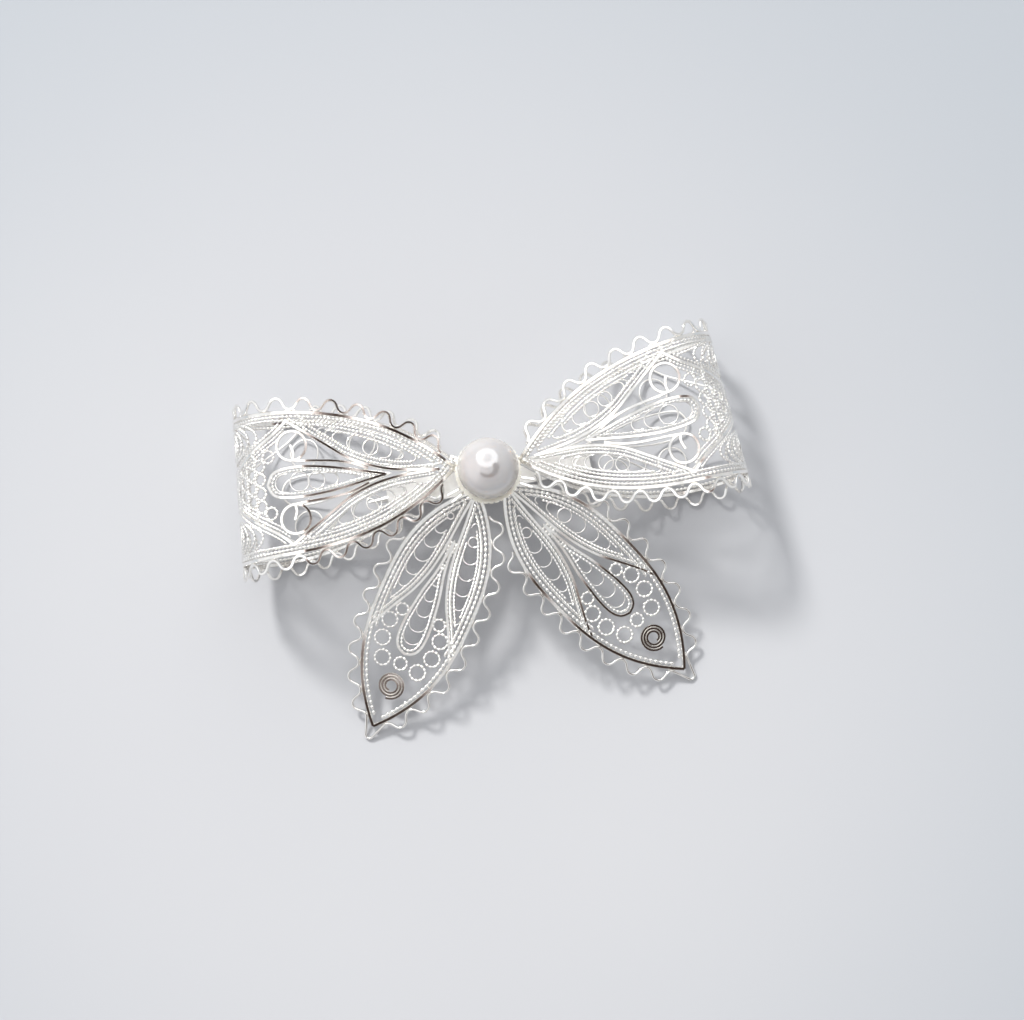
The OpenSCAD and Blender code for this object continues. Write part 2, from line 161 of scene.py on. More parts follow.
class LoopProfile:
    """Side profile of a loop: the front runs to the fold, round it and back."""

    def __init__(self, front_z, back_z, rise, lift, skews):
        self.rise = rise
        self.lift = lift
        self.skews = skews
        self.centre = Vector((LOOP_REACH - FOLD_R - RIM_ROOM / 2, FOLD_R + JOINT_H / 2))
        self.fold_x = self.centre.x + FOLD_R
        to_front = self.centre - Vector((LOOP_TIP, front_z))
        to_back = self.centre - Vector((LOOP_TIP, back_z))
        self.front_slope = math.atan2(to_front.y, to_front.x) + math.asin(FOLD_R / to_front.length)
        self.back_slope = math.atan2(to_back.y, to_back.x) - math.asin(FOLD_R / to_back.length)
        self.front = math.sqrt(to_front.length ** 2 - FOLD_R ** 2)
        self.back = math.sqrt(to_back.length ** 2 - FOLD_R ** 2)
        self.fold = FOLD_R * (math.pi + self.front_slope - self.back_slope)
        self.length = self.front + self.fold + self.back
        self.mid = self.length / 2

    def place(self, u, t, h):
        """Point at a length along the panel, a place across it and a height over it."""
        heading = self.front_slope - min(max(u - self.front, 0), self.fold) / FOLD_R
        straight = min(u - self.front, 0) + max(u - self.front - self.fold, 0)
        along = Vector((math.cos(heading), math.sin(heading)))
        up = Vector((-along.y, along.x))
        middle = self.centre + FOLD_R * up + straight * along
        skew = self.skews[0 if heading > -math.pi / 2 else 1]
        lean = skew * (1 - middle.x / self.fold_x)
        h += waver(u, t, 1 - abs(1 - u / self.mid))
        p = middle + h * up
        return turned(p.x, t + self.lift + lean, p.y, self.rise)

    def rim(self, u):
        """Place of the rim across the panel."""
        return LOOP_HALF_W * (1 - abs(1 - u / self.mid) ** LOOP_POWER)


class TailProfile:
    """Side profile of a tail: one shallow arch that dips from the knot to the surface."""

    def __init__(self, spread):
        self.turn = spread - math.pi / 2
        self.length = TAIL_ARCH_R * (math.asin(TAIL_REACH / TAIL_ARCH_R + math.sin(TAIL_DIP)) - TAIL_DIP)
        crest = TAIL_DIP + (self.length + WAVE_OUT) / TAIL_ARCH_R
        self.root_z = TAIL_ARCH_R * (math.cos(TAIL_DIP) - math.cos(crest)) + WAVE_SOLID_R

    def place(self, u, t, h):
        """Point at a length along the panel, a place across it and a height over it."""
        angle = TAIL_DIP + u / TAIL_ARCH_R
        r = TAIL_ARCH_R + h + waver(u, t, min(u / self.length, 1))
        out = r * math.sin(angle) - TAIL_ARCH_R * math.sin(TAIL_DIP)
        z = self.root_z + r * math.cos(angle) - TAIL_ARCH_R * math.cos(TAIL_DIP)
        return turned(out, t, z, self.turn) + Vector((0, TAIL_LIFT, 0))

    def rim(self, u):
        """Place of the rim across the panel."""
        x = (u - TAIL_TIP) / (self.length - TAIL_TIP)
        if x < TAIL_WIDEST:
            return TAIL_HALF_W * (1 - max(1 - x / TAIL_WIDEST, 0) ** TAIL_ROOT_POWER)
        return TAIL_HALF_W * (1 - min((x - TAIL_WIDEST) / (1 - TAIL_WIDEST), 1) ** TAIL_POINT_POWER)


def turned(x, y, z, angle):
    """A point turned round the post's axis."""
    cosine, sine = math.cos(angle), math.sin(angle)
    return Vector((x * cosine - y * sine, x * sine + y * cosine, z))


# Paths on the flat panel are lists of (length along, length across)


def through(points, step=RIM_STEP):
    """Points about step apart on a smooth curve through the given ones."""
    last = len(points) - 1
    path = []
    for i in range(last):
        a, b, c, d = (Vector(points[min(max(i + k, 0), last)]) for k in (-1, 0, 1, 2))
        parts = max(2, round((c - b).length / step))
        for k in range(parts):
            x = k / parts
            slope_b = (c - a) / 2
            slope_c = (d - b) / 2
            path.append(
                (2 * x ** 3 - 3 * x ** 2 + 1) * b + (x ** 3 - 2 * x ** 2 + x) * slope_b
                + (3 * x ** 2 - 2 * x ** 3) * c + (x ** 3 - x ** 2) * slope_c
            )
    path.append(Vector(points[-1]))
    return path


def sides_of(path, closed=False):
    """Unit vectors to the left of a path at each of its points."""
    n = len(path)
    found = []
    for i in range(n):
        if closed:
            d = path[(i + 1) % n] - path[i - 1]
        else:
            d = path[min(i + 1, n - 1)] - path[max(i - 1, 0)]
        found.append(Vector((-d.y, d.x)).normalized())
    return found


def beside(path, room, closed=False):
    """The path moved sideways to its left."""
    return [p + room * side for p, side in zip(path, sides_of(path, closed))]


def spaced(path, step, closed=False, whole=1):
    """The path with its points an equal step apart in a multiple of whole spans, and that step."""
    pts = path + [path[0]] if closed else path
    reached = [0.0]
    for a, b in zip(pts, pts[1:]):
        reached.append(reached[-1] + (b - a).length)
    parts = whole * max(2, round(reached[-1] / step / whole))
    out, k = [], 0
    for i in range(parts if closed else parts + 1):
        want = reached[-1] * i / parts
        while k < len(pts) - 2 and reached[k + 1] < want:
            k += 1
        span = reached[k + 1] - reached[k]
        x = (want - reached[k]) / span if span else 0
        out.append(pts[k].lerp(pts[k + 1], x))
    return out, reached[-1] / parts


def mirrored_across(path):
    """The path on the other side of the panel."""
    return [Vector((p[0], -p[1])) for p in path]


def arc(centre, r, start, end, squash=1.0):
    """Part of a circle, by angles from the panel's length."""
    parts = max(6, round(abs(end - start) * r / ROUND_STEP))
    angles = [start + (end - start) * i / parts for i in range(parts + 1)]
    return [Vector((centre[0] + r * math.cos(a), centre[1] + r * squash * math.sin(a))) for a in angles]


def circle(centre, r):
    """Points round a middle, for a closed path."""
    return arc(centre, r, 0, 2 * math.pi)[:-1]


# Finishes of a panel's wires, by the places of their materials. All wires at the back are soft.
BRIGHT, SPARKLING, SOFT = range(3)


def rolled_section():
    """Outline that rolled wires are swept from."""
    curve = bpy.data.curves.new("rolled_section", "CURVE")
    outline = curve.splines.new("POLY")
    outline.points.add(len(ROLLED) - 1)
    for corner, (across, high) in zip(outline.points, ROLLED):
        corner.co = (across * MM, high * MM, 0, 1)
    outline.use_cyclic_u = True
    holder = bpy.data.objects.new("rolled_section", curve)
    bpy.context.scene.collection.objects.link(holder)
    return holder


section = rolled_section()


def tilts(points, normals):
    """Turns of a swept section that keep its flat top on the panel, as the sweep alone would let it twist."""
    last = len(points) - 1
    found = []
    before = up = None
    for i, normal in enumerate(normals):
        ahead = (points[min(i + 1, last)] - points[min(i, last - 1)]).normalized()
        behind = (points[max(i, 1)] - points[max(i - 1, 0)]).normalized()
        along = (ahead + behind).normalized()
        if before is None:
            up = Vector((0, 0, 1)) - along.z * along
        else:
            up.rotate(before.rotation_difference(along))
        before = along
        found.append(math.atan2(along.dot(up.cross(normal)), up.dot(normal)))
    return found


class Wirework:
    """The wires of one panel, kept as curves until they are made one mesh."""

    def __init__(self, name, profile, mirrored):
        self.name = name
        self.profile = profile
        self.mirrored = mirrored
        self.at_back = False
        self.curves = {}

    def on_knot(self, x, y, z):
        """Moves a point from the knot's own place, mirrored for a piece on the left."""
        return (KNOT.x + (-x if self.mirrored else x), KNOT.y + y, z)

    def point(self, u, t, h):
        """Point of the bent panel, by length along it, place across it and height over it."""
        return self.on_knot(*self.profile.place(u, t, h))

    def spline(self, points, r, sides, closed, finish=BRIGHT, turns=None):
        """Adds a wire through points, with one radius or a list of them."""
        kind = (sides, SOFT if self.at_back else finish)
        if kind not in self.curves:
            curve = bpy.data.curves.new(f"{self.name}_{sides}", "CURVE")
            curve.dimensions = "3D"
            curve.use_fill_caps = True
            if sides == ROLLED_SIDES:
                curve.bevel_mode = "OBJECT"
                curve.bevel_object = section
            else:
                curve.bevel_depth = MM
                # A round section has four sides and two more for each step of its resolution
                curve.bevel_resolution = (sides - 4) // 2
            self.curves[kind] = curve
        spline = self.curves[kind].splines.new("POLY")
        spline.points.add(len(points) - 1)
        flat = [x for p in points for x in (p[0] * MM, p[1] * MM, p[2] * MM, 1.0)]
        spline.points.foreach_set("co", flat)
        spline.points.foreach_set("radius", r if isinstance(r, list) else [r] * len(points))
        if turns:
            spline.points.foreach_set("tilt", turns)
        spline.use_cyclic_u = closed

    def wire(self, path, r, closed=False, sides=ROLLED_SIDES):
        """A smooth wire, rolled or round."""
        points = [Vector(self.point(p[0], p[1], 0)) for p in path]
        normals = [Vector(self.point(p[0], p[1], 1)) - q for p, q in zip(path, points)]
        self.spline(points, r, sides, closed, turns=tilts(points, normals) if sides == ROLLED_SIDES else None)

    def beads(self, path, width=BEAD_W, pitch=BEAD_PITCH, closed=False):
        """One wire pressed into beads along a path."""
        per_bead = len(BEAD_SHAPE)
        path, _ = spaced(path, pitch / per_bead, closed, per_bead)
        radii = [width / 2 * BEAD_SHAPE[i % per_bead] for i in range(len(path))]
        self.spline([self.point(p[0], p[1], 0) for p in path], radii, ROUND_SIDES, closed, SPARKLING)

    def twist(self, path, width, pitch):
        """Two strands wound round each other along a path."""
        strand_r = width / 4
        orbit = width / 2 - strand_r
        path, step = spaced(path, pitch / TWIST_STEPS)
        sides = sides_of(path)
        for strand in (0, math.pi):
            points = []
            for i, (p, side) in enumerate(zip(path, sides)):
                angle = strand + 2 * math.pi * i * step / pitch
                q = p + orbit * math.cos(angle) * side
                points.append(self.point(q.x, q.y, orbit * math.sin(angle)))
            self.spline(points, strand_r, ROUND_SIDES, False, SPARKLING)

    def wound(self, row, path):
        """A beaded or twisted wire along a path, as its row says."""
        make = self.twist if row.wind == "twist" else self.beads
        make(path, row.width, row.pitch)

    def piece(self, *materials):
        """One mesh of all the wires."""
        whole = bmesh.new()
        for (sides, finish), curve in self.curves.items():
            holder = bpy.data.objects.new(curve.name, curve)
            bpy.context.scene.collection.objects.link(holder)
            bpy.context.view_layer.update()
            seen = holder.evaluated_get(bpy.context.evaluated_depsgraph_get())
            mesh = bpy.data.meshes.new_from_object(seen)
            mesh.polygons.foreach_set("material_index", [finish] * len(mesh.polygons))
            if sides == ROLLED_SIDES:
                mesh.set_sharp_from_angle(angle=SHARP)
            whole.from_mesh(mesh)
            bpy.data.objects.remove(holder)
            bpy.data.meshes.remove(mesh)
            bpy.data.curves.remove(curve)
        return finished(self.name, whole, *materials)


def finished(name, bm, *materials):
    """Makes a bmesh a smooth object that rides on the root body."""
    for face in bm.faces:
        face.smooth = True
    mesh = bpy.data.meshes.new(name)
    bm.to_mesh(mesh)
    bm.free()
    for material in materials:
        mesh.materials.append(material)
    piece = bpy.data.objects.new(name, mesh)
    bpy.context.scene.collection.objects.link(piece)
    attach(piece, "root")
    return piece


# Edging


def edging(profile, start, end):
    """Wavy path outside a rim, with round crests and troughs."""
    rim, step = spaced([Vector((u, profile.rim(u))) for u in steps(start, end, EDGE_STEP)], EDGE_FINE_STEP)
    sides = sides_of(rim)
    total = (len(rim) - 1) * step
    waves = round(total / WAVE_PITCH)
    pitch = total / waves
    path = []
    for i in range(waves * WAVE_STEPS + 1):
        phase = 2 * math.pi * i / WAVE_STEPS
        along = pitch * (phase + WAVE_ROUNDNESS / 2 * math.sin(2 * phase)) / (2 * math.pi)
        k = min(max(along / step, 0), len(rim) - 1.001)
        p = rim[int(k)].lerp(rim[int(k) + 1], k % 1)
        out = WAVE_IN + (WAVE_OUT - WAVE_IN) * (1 - math.cos(phase)) / 2
        path.append(p + out * sides[int(k)])
    return path


def steps(start, end, step):
    """Numbers from the start to the end, about step apart."""
    parts = max(2, round((end - start) / step))
    return [start + (end - start) * i / parts for i in range(parts + 1)]


# A row inside a rim: beads or twist, how far it lies from the rim, where it starts and ends along the panel
RimRow = namedtuple("RimRow", "wind room start end width pitch")
# A row beside another wire: how far it lies to its left, and which of the wire's points it runs from and to
SideRow = namedtuple("SideRow", "wind room first last width pitch")
# A beaded row inside a teardrop
DropRow = namedtuple("DropRow", "room width pitch")
# The places of the scallops and rings in a leaf cell, and the room that they leave to the leaf and to the rim
Cell = namedtuple("Cell", "places inner_room outer_room")
# Bows in a teardrop: their places and which way they face, or 0 for a ring, with their room and their legs
Bows = namedtuple("Bows", "places room leg")
TO_THE_END = math.inf

# Tables for a loop, as shares of half its length and of its half width
LOOP_LEAF = [(0.06, 0.0), (0.19, 0.035), (0.26, 0.07), (0.34, 0.15), (0.42, 0.28), (0.49, 0.45), (0.57, 0.65),
             (0.655, 0.865)]
LOOP_BRACE = [(0.645, 0.865), (0.7, 0.7), (0.775, 0.54), (0.855, 0.38), (0.93, 0.24), (1, 0.19)]
LOOP_DROP = [(0.27, 0.0), (0.36, 0.07), (0.43, 0.125), (0.51, 0.175), (0.59, 0.205), (0.665, 0.2),
             (0.715, 0.145), (0.737, 0)]
LOOP_STEM = [(0.34, 0.1), (0.4, 0.19), (0.47, 0.245), (0.54, 0.27), (0.6, 0.285)]
SCROLL = (0.634, 0.505)
SCROLL_R = 1.47
DISC_T = 0.596

# Hook inside a scroll, from its middle
HOOK = ((-0.12, -0.75), (0.12, 0.1))
HOOK_STEP = 0.12

# Spiral discs: inner radius, outer radius and turns, and the points of a turn
LOOP_COIL = (0.3, 1.55, 5)
TAIL_COIL = (0.5, 1.4, 3)
COIL_STEPS = 24

# Rows, cells and teardrop of a loop
LOOP_EDGE_ROWS = (RimRow("beads", 0.42, 0.5, TO_THE_END, BEAD_W, BEAD_PITCH),)
LOOP_ROWS = (
    RimRow("twist", 0.81, 1.5, TO_THE_END, TWIST_W, TWIST_PITCH),
    RimRow("beads", 1.2, 2.6, 15.6, 0.34, 0.4),
    RimRow("twist", 1.55, 4.4, 12.6, 0.34, TWIST_PITCH),
)
LOOP_LEAF_ROWS = (SideRow("beads", 0.36, 2, -1, 0.3, 0.35), SideRow("beads", 0.76, 9, -8, 0.5, 0.31))
BRACE_ROWS = tuple(SideRow("beads", room, 3, None, 0.33, 0.39) for room in (0.38, -0.38, -0.74))
LOOP_DROP_ROW = DropRow(-0.38, 0.33, 0.39)
LOOP_CELL = Cell((4.2, 5.6, 7.0, 8.4, 10.0, 11.7, 13.3, 14.8), 1.05, 1.75)
BACK_CELL = Cell((7.0, 10.0, 13.3), 0.4, 0.9)
LEFT_LOOP_BOWS = Bows(((12.5, -1), (14.1, 0), (15.8, 0), (17.4, 1)), 0.55, 0.5)
RIGHT_LOOP_BOWS = Bows(((12.5, -1), (14.1, -1), (15.8, 0), (17.4, 1)), 0.55, 0.5)

# Tables for a tail, as shares of its length and of its half width
TAIL_LEAF = [(0.04, 0.02), (0.12, 0.06), (0.22, 0.1), (0.3, 0.15), (0.37, 0.23), (0.445, 0.37), (0.52, 0.58),
             (0.6, 0.8), (0.65, 0.91)]
TAIL_DROP = [(0.21, 0.0), (0.3, 0.05), (0.36, 0.1), (0.43, 0.19), (0.5, 0.25), (0.57, 0.29), (0.635, 0.28),
             (0.675, 0.18), (0.69, 0)]
TAIL_DISC = 0.825

# Rows, cells and teardrop of a tail
TAIL_ROWS = (
    RimRow("beads", 0.47, 3.1, TO_THE_END, 0.45, 0.56),
    RimRow("twist", 0.88, 4.1, 19.5, TWIST_W, TWIST_PITCH),
    RimRow("beads", 1.23, 5.6, 15.2, 0.34, 0.38),
)
TAIL_ROWS_CLEAR = 0.8
TAIL_LEAF_ROWS = (
    SideRow("twist", 0.4, 2, -1, TWIST_W, TWIST_PITCH),
    SideRow("beads", 0.76, 14, -12, 0.34, 0.38),
)
TAIL_DROP_ROW = DropRow(-0.4, 0.35, 0.4)
TAIL_CELL = Cell((6.0, 7.5, 9.0, 10.6, 12.3, 14.0, 15.6), 0.85, 1.3)
TAIL_BOWS = Bows(((12.9, 1), (14.4, 1), (15.9, 1), (17.4, 1), (18.8, 1)), 0.5, 0.4)


def at(path, u):
    """Height of a path over the panel's length at u."""
    for a, b in zip(path, path[1:]):
        if a.x <= u <= b.x:
            return a.y + (b.y - a.y) * (u - a.x) / (b.x - a.x)
    return path[-1].y if u > path[-1].x else path[0].y


def teardrop(half):
    """Closed path through half an outline and back along its mirror image."""
    return half + [Vector((p.x, -p.y)) for p in half[-2:0:-1]]


# Half the angle of a scallop's bow, how far apart its legs end and how long they are in a cell, as shares of
# its radius, the least radius in a cell and in a teardrop, and a full ring's radius as a share of a scallop's
BOW_HALF = 0.45 * math.pi
BOW_SPREAD = 1.14
SCALLOP_LEG = 0.4
NARROWEST_SCALLOP = 0.35
NARROWEST_BOW = 0.3
CELL_RING_SHARE = 0.95


def scallop(centre, r, facing, leg):
    """A bow of wire that faces a direction, with two legs that run out to the sides behind it."""
    bow = arc((0, 0), r, -BOW_HALF, BOW_HALF)
    spread = BOW_SPREAD * r
    path = [Vector((-leg, -spread))] + bow + [Vector((-leg, spread))]
    centre = Vector(centre)
    ahead = Vector(facing)
    across = Vector((-ahead.y, ahead.x))
    return [centre + p.x * ahead + p.y * across for p in path]


def fill_cell(work, leaf, lay, side, cell, rings):
    """Scallops in a leaf cell, on both sides of one or two full rings."""
    middles = []
    for u in cell.places:
        painted_bounce_share = at(leaf, u) + cell.inner_room
        high = work.profile.rim(u) - cell.outer_room
        middles.append((Vector((u, (painted_bounce_share + high) / 2)), (high - painted_bounce_share) / 2))
    for i, (middle, room) in enumerate(middles):
        before = middles[max(i - 1, 0)][0]
        after = middles[min(i + 1, len(middles) - 1)][0]
        d = (after - before).normalized()
        r = max(room, NARROWEST_SCALLOP)
        if i in rings:
            path = circle(middle, r * CELL_RING_SHARE)
            work.wire([lay(p, side) for p in path], FINE_R, closed=True, sides=ROUND_SIDES)
        else:
            facing = d if i > max(rings) else -d
            path = scallop(middle, r, facing, SCALLOP_LEG * r)
            work.wire([lay(p, side) for p in path], FINE_R, sides=ROUND_SIDES)


def fill_drop(work, drop, row, bows):
    """A beaded row inside a teardrop, and bows and rings of fine wire in it."""
    work.beads(beside(teardrop(drop), row.room, closed=True), row.width, row.pitch, closed=True)
    for u, facing in bows.places:
        room = max(at(drop, u) - bows.room, NARROWEST_BOW)
        if facing == 0:
            work.wire(circle((u, 0), room), FINE_R, closed=True, sides=ROUND_SIDES)
        else:
            work.wire(scallop((u, 0), room, (facing, 0), bows.leg), FINE_R, sides=ROUND_SIDES)


def rim_rows(work, lay, side, rows, end):
    """Beaded and twisted wires beside a rim, none of them past the end."""
    for row in rows:
        rim = [Vector((u, work.profile.rim(u))) for u in steps(row.start, min(row.end, end), ROW_STEP)]
        work.wound(row, [lay(p, side) for p in beside(rim, -row.room)])


def side_rows(work, path, lay, side, rows):
    """Beaded and twisted wires beside a path."""
    for row in rows:
        work.wound(row, [lay(p, side) for p in beside(path, row.room)[row.first:row.last]])


# Which places of a cell hold a full ring at the back
BACK_RINGS = (1,)

# Beaded rings in the diamond of a loop: their radius, the width and length of their beads, and their middles
# as the length along the panel and the places across it. The back starts at a later row.
DIAMOND_R = 0.62
DIAMOND_BEADS = (0.35, 0.4)
DIAMOND = ((18.9, (2.85,)), (20.0, (0.7, 2.05, 3.25)), (21.2, (0, 1.4, 2.7)), (22.4, (0.7, 2.0)),
           (23.6, (0, 1.35)), (24.8, (0.68,)), (26.0, (0,)))
BACK_DIAMOND = 3

# Beaded arcs round the spiral discs on a fold: their radii along and across the panel, how many the back has,
# how far their middles drift outwards as a share of the radius, and their angles
FOLD_ARCS = ((2.3, 1.45), (3.4, 1.75), (4.6, 1.95), (5.8, 1.9))
BACK_ARCS = 2
FOLD_ARC_DRIFT = 0.12
FOLD_ARC_ANGLES = (0.6 * math.pi, 1.4 * math.pi)


def fold_arcs(work, lay, side, arcs):
    """Beaded arcs that open towards the fold."""
    for along, across in arcs:
        corner = (work.profile.mid, DISC_T * LOOP_HALF_W + FOLD_ARC_DRIFT * along)
        work.beads([lay(p, side) for p in arc(corner, along, *FOLD_ARC_ANGLES, squash=across / along)])


def loop_wires(name, front, back, rise, lift, skews, mirrored, full_rings, bows):
    """One loop of the ribbon."""
    back_z = layer_z((LEFT_BACK + RIGHT_BACK) / 2)
    front_z = layer_z((LEFT_FRONT + RIGHT_FRONT) / 2) + EYELET_T
    profile = LoopProfile(front_z, back_z, rise, lift, skews)
    work = Wirework(name, profile, mirrored)
    mid = profile.mid

    def shares(table):
        """Points of a table as lengths."""
        return [Vector((x * mid, y * LOOP_HALF_W)) for x, y in table]

    rim = [Vector((u, profile.rim(u))) for u in steps(0, profile.length, RIM_STEP)]
    wave = edging(profile, WAVE_START, profile.length - WAVE_START)
    for side in (1, -1):
        work.wire([Vector((p.x, side * p.y)) for p in rim], RIM_R)
        work.wire([Vector((p.x, side * p.y)) for p in wave], WAVE_R)
    leaf = through(shares(LOOP_LEAF))
    brace = through(shares(LOOP_BRACE))
    drop = through(shares(LOOP_DROP))
    outline = teardrop(drop)
    stem = through(shares(LOOP_STEM))
    scroll_c = Vector((SCROLL[0] * mid, SCROLL[1] * LOOP_HALF_W))
    for end in (0, 1):
        work.at_back = end == 1

        def lay(p, side, end=end):
            """A point on one side of the front, or of the back, where lengths run from the other end."""
            return Vector((p.x if end == 0 else profile.length - p.x, side * p.y))

        for side in (1, -1):
            rim_rows(work, lay, side, LOOP_EDGE_ROWS, mid)
            fold_arcs(work, lay, side, FOLD_ARCS[:BACK_ARCS] if work.at_back else FOLD_ARCS)
            if work.at_back:
                for path in (leaf, brace):
                    work.wire([lay(p, side) for p in path], THIN_R, sides=ROUND_SIDES)
                path = [lay(p, side) for p in circle(scroll_c, SCROLL_R)]
                work.wire(path, FINE_R, closed=True, sides=ROUND_SIDES)
                fill_cell(work, leaf, lay, side, BACK_CELL, BACK_RINGS)
                continue
            rim_rows(work, lay, side, LOOP_ROWS, mid)
            work.wire([lay(p, side) for p in leaf], OUTLINE_R)
            side_rows(work, leaf, lay, side, LOOP_LEAF_ROWS)
            fill_cell(work, leaf, lay, side, LOOP_CELL, full_rings)
            work.wire([lay(p, side) for p in brace], OUTLINE_R)
            side_rows(work, brace, lay, side, BRACE_ROWS)
            around = arc(scroll_c, SCROLL_R, -math.pi / 2, 1.5 * math.pi)
            hook = through([around[-1]] + [scroll_c + Vector(p) for p in HOOK], HOOK_STEP)
            work.wire([lay(p, side) for p in stem[:-1] + around + hook[1:]], SCROLL_WIRE_R)
        if work.at_back:
            work.wire([lay(p, 1) for p in outline], THIN_R, closed=True, sides=ROUND_SIDES)
        else:
            work.wire([lay(p, 1) for p in outline], OUTLINE_R, closed=True)
            fill_drop(work, drop, LOOP_DROP_ROW, bows)
        for u, places in DIAMOND[BACK_DIAMOND if work.at_back else 0:]:
            for t in places:
                for side in (1, -1) if t else (1,):
                    path = [lay(p, side) for p in circle((u, t), DIAMOND_R)]
                    work.beads(path, *DIAMOND_BEADS, closed=True)
    work.at_back = False
    for side in (1, -1):
        coil(work, (mid, side * DISC_T * LOOP_HALF_W), *LOOP_COIL)
    eyelet_wires(work, front, profile.place(0, 0, 0))
    eyelet_wires(work, back, profile.place(profile.length, 0, 0))
    return work


def coil(work, centre, inner_r, outer_r, turns):
    """Spiral disc of smooth wire."""
    parts = COIL_STEPS * turns
    path = []
    for i in range(parts + 1):
        angle = 2 * math.pi * turns * i / parts
        r = inner_r + (outer_r - inner_r) * i / parts
        path.append(Vector((centre[0] + r * math.cos(angle), centre[1] + r * math.sin(angle))))
    work.wire(path, (outer_r - inner_r) / turns / 2)


# Angles from the middle of a tail to the two short rods at its root
ROD_TURNS = (math.radians(27), math.radians(37))

# Beaded rings between the teardrop of a tail and its rims: length along, place across and radius
TAIL_RINGS = ((16.7, 2.05, 0.62), (18.2, 2.8, 0.78), (20.2, 2.75, 0.8), (22.1, 1.95, 0.8), (21.95, 0, 0.66))


def tail_wires(name, layer, spread, mirrored, inner_start, outer_start, full_rings):
    """One hanging end of the ribbon."""
    profile = TailProfile(spread)
    work = Wirework(name, profile, mirrored)
    span = profile.length - TAIL_TIP

    def shares(table):
        """Points of a table as lengths."""
        return [Vector((TAIL_TIP + x * span, y * TAIL_HALF_W)) for x, y in table]

    def lay(p, side):
        """A point on one side of the panel."""
        return Vector((p.x, side * p.y))

    rim = [Vector((u, profile.rim(u))) for u in steps(TAIL_TIP, profile.length, RIM_STEP)]
    leaf = through(shares(TAIL_LEAF))
    drop = through(shares(TAIL_DROP))
    outline = teardrop(drop)
    for side in (1, -1):
        work.wire([lay(p, side) for p in rim], RIM_R)
    stop = profile.length - WAVE_PITCH / 3
    outer = edging(profile, outer_start, stop)
    inner = mirrored_across(edging(profile, inner_start, stop))
    tip = arc((profile.length + WAVE_OUT - WAVE_POINT_R, 0), WAVE_POINT_R, -math.pi / 2, math.pi / 2)
    work.wire(inner + tip + outer[::-1], WAVE_R, sides=ROUND_SIDES)
    for side in (1, -1):
        work.wire([lay(p, side) for p in leaf], OUTLINE_R)
        side_rows(work, leaf, lay, side, TAIL_LEAF_ROWS)
        rim_rows(work, lay, side, TAIL_ROWS, profile.length - TAIL_ROWS_CLEAR)
        fill_cell(work, leaf, lay, side, TAIL_CELL, full_rings[side])
    work.wire(outline, OUTLINE_R, closed=True)
    fill_drop(work, drop, TAIL_DROP_ROW, TAIL_BOWS)
    for u, t, r in TAIL_RINGS:
        for side in (1, -1) if t else (1,):
            work.beads([lay(p, side) for p in circle((u, t), r)], closed=True)
    coil(work, (TAIL_TIP + TAIL_DISC * span, 0), *TAIL_COIL)
    eyelet_wires(work, layer, profile.place(TAIL_TIP, 0, 0))
    for turn in ROD_TURNS:
        ends = [turned(r, 0, layer_z(layer), profile.turn + turn) for r in (EYELET_R, ROD_REACH)]
        work.spline([work.on_knot(*end) for end in ends], ROD_R, ROLLED_SIDES, False)
    return work


# How far the rods of an eyelet reach into the tip of the panel
TONGUE_IN = 0.5


def eyelet_wires(work, layer, tip):
    """Flat ring on the post, and three rods that stay level until they are past it and then run to a tip."""
    z = layer_z(layer)
    r = EYELET_T / 2
    for ring_r in (POST_R + POST_GAP + r, EYELET_R - r):
        work.spline([work.on_knot(ring_r * math.cos(a), ring_r * math.sin(a), z)
                     for a in steps(0, 2 * math.pi, ROW_STEP)[:-1]], r, ROLLED_SIDES, True)
    away = Vector((tip.x, tip.y)).normalized()
    across = Vector((-away.y, away.x))
    for k in (-1, 0, 1):
        sideways = across * k * 2 * r
        path = []
        for reach, height in ((EYELET_R - r, z), (EYELET_R + STACK_GAP, z)):
            path.append(work.on_knot(*(away * reach + sideways), height))
        path.append(work.on_knot(*(Vector((tip.x, tip.y)) + away * TONGUE_IN + sideways), tip.z))
        work.spline(path, r, ROLLED_SIDES, False)


# The pearl, drilled from below
PEARL_R = 3.1
PEARL_GAP = 0.05
CUP_FLOOR = 0.3
PEG_R = 0.4
PEG_DEPTH = 2.8
PEARL_Z = CUP_Z + CUP_FLOOR + PEARL_GAP + PEARL_R

# Silver: the height of its marks, and the roughness that its film takes away and adds
MARK_H = 0.02 * MM
FILM_LESS = 0.04
FILM_MORE = 0.1

# Pearl: its colours, how deep light goes into it, and where cream starts and is full, as shares of its radius
# over its middle. The cream lower half is painted warm light reflected up from the surface below.
NACRE_TOP = (0.57, 0.56, 0.562)
NACRE_ROSE = (0.59, 0.545, 0.54)
NACRE_CREAM_PAINTED_BOUNCE = (0.62, 0.59, 0.53)
NACRE_GLOW_DEPTH = 4 * MM
NACRE_FROM, NACRE_TO = 0.75, 0.1

# Surface: its colours near the brooch and far from it, the middle of its lightest part, and how far from
# there it starts and stops getting darker. The darkening away from the middle is painted shade round a
# painted pool of light, not a tone of the paper.
PAPER_NEAR = (0.5, 0.505, 0.528)
PAPER_LIGHT = (0.515, 0.52, 0.54)
PAPER_FAR_PAINTED_SHADE = (0.392, 0.418, 0.452)
PAPER_LIT_MIDDLE = (-12 * MM, -12 * MM, 0)
PAPER_PAINTED_SHADE_FALL = (25 * MM, 100 * MM)

# Materials


